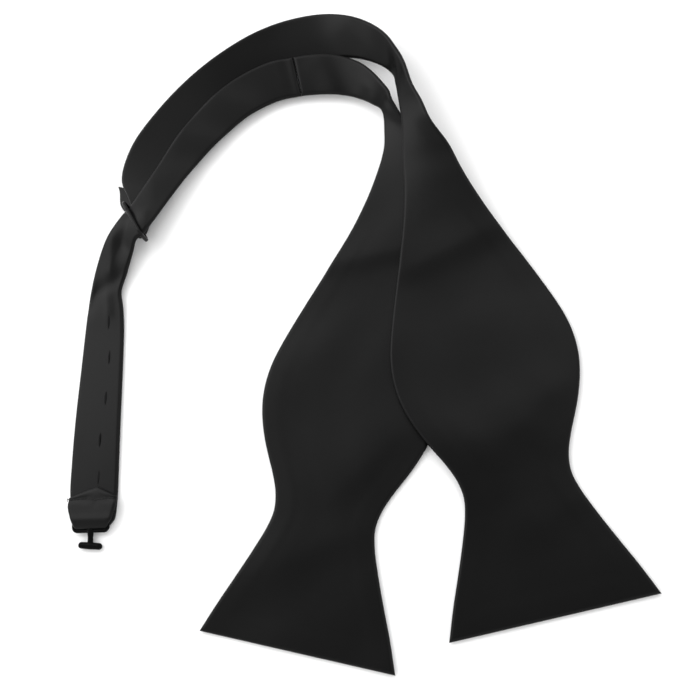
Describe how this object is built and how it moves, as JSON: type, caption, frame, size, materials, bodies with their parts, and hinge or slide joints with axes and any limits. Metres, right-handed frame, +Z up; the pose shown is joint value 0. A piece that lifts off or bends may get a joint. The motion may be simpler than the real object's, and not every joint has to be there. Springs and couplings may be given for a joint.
{
  "type": "self-tie bow tie",
  "caption": "Black satin self-tie bow tie with butterfly blades, a doubled neckband, a slide ring and a buttonholed tail with a T-hook.",
  "frame": {"origin": "on the surface the tie lies on, under the middle of its outline", "axes": "+Z up from the surface, +Y towards the bend of the neckband, +X towards the front blade"},
  "size_m": [0.2026, 0.2494, 0.0148],
  "materials": {
    "satin": "black polyester satin, smooth, soft sheen",
    "interlining": "grey woven interlining, matt",
    "thread": "black polyester sewing thread",
    "enamel": "black enamelled wire, semi-gloss"
  },
  "bodies": {
    "neckband": {"back_blade_backing": "satin", "back_blade_interlining": "interlining", "back_blade_face": "satin", "front_strap_backing": "satin", "front_strap_interlining": "interlining", "front_strap_face": "satin", "strap_end_loop": "satin", "adjuster_backing": "satin", "adjuster_interlining": "interlining", "adjuster_face": "satin", "cross_seam_thread": "thread"},
    "front_blade": {"front_blade_backing": "satin", "front_blade_interlining": "interlining", "front_blade_face": "satin"},
    "ring": {"slide_ring": "enamel"},
    "tail": {"tail_backing": "satin", "tail_interlining": "interlining", "tail_face": "satin", "buttonhole_1": "thread", "buttonhole_2": "thread", "buttonhole_3": "thread", "buttonhole_4": "thread", "buttonhole_5": "thread", "end_flap": "satin", "flap_stitch_thread": "thread"},
    "hook": {"t_hook": "enamel"}
  },
  "joints": [
    {"name": "front_blade_fold", "type": "hinge", "parent": "neckband", "child": "front_blade", "pos_m": [0.0322, 0.0582, 0.0091], "axis": [-0.9589, -0.205, -0.196], "range_deg": [0, 75]},
    {"name": "ring_pivot", "type": "hinge", "parent": "neckband", "child": "ring", "pos_m": [-0.0811, 0.0422, 0.003], "axis": [0.494, -0.8695, 0], "range_deg": [-8, 22]},
    {"name": "tail_fold", "type": "hinge", "parent": "neckband", "child": "tail", "pos_m": [-0.0872, 0.0335, 0.0061], "axis": [-0.841, 0.541, 0], "range_deg": [0, 130]},
    {"name": "hook_pivot", "type": "hinge", "parent": "tail", "child": "hook", "pos_m": [-0.0912, -0.0717, 0.0024], "axis": [-1, 0, 0], "range_deg": [0, 100]}
  ]
}
